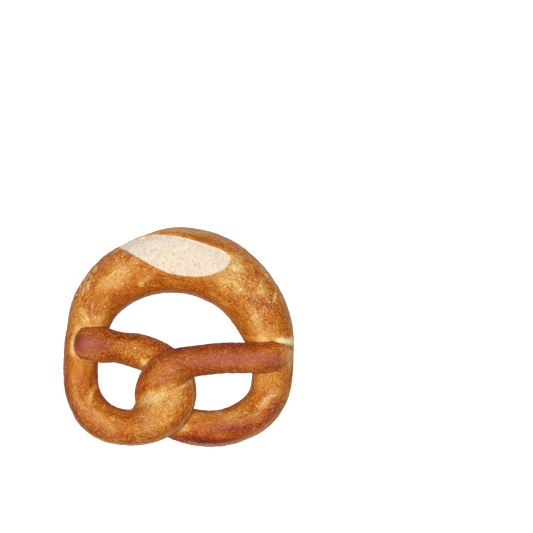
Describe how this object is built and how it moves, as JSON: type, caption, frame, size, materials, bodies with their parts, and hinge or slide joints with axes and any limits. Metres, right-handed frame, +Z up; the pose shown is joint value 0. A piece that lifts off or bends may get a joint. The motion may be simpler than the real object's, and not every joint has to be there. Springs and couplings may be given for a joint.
{
  "type": "soft pretzel",
  "caption": "Baked soft pretzel: one dough rope twisted over itself, thin arms fused to a fat belly with a pale split across it.",
  "frame": {"origin": "centre of the bounding box seen from above, at the height of the tray that the pretzel lies on", "axes": "+Z up from the tray, +Y from the knot towards the fat belly, +X across the pretzel towards the arm that lies on top at the crossing by the arms"},
  "size_m": [0.1496, 0.1426, 0.0309],
  "materials": {
    "crust": "semi-gloss golden to reddish brown crust"
  },
  "bodies": {
    "root": {"pretzel": "crust"}
  },
  "joints": []
}
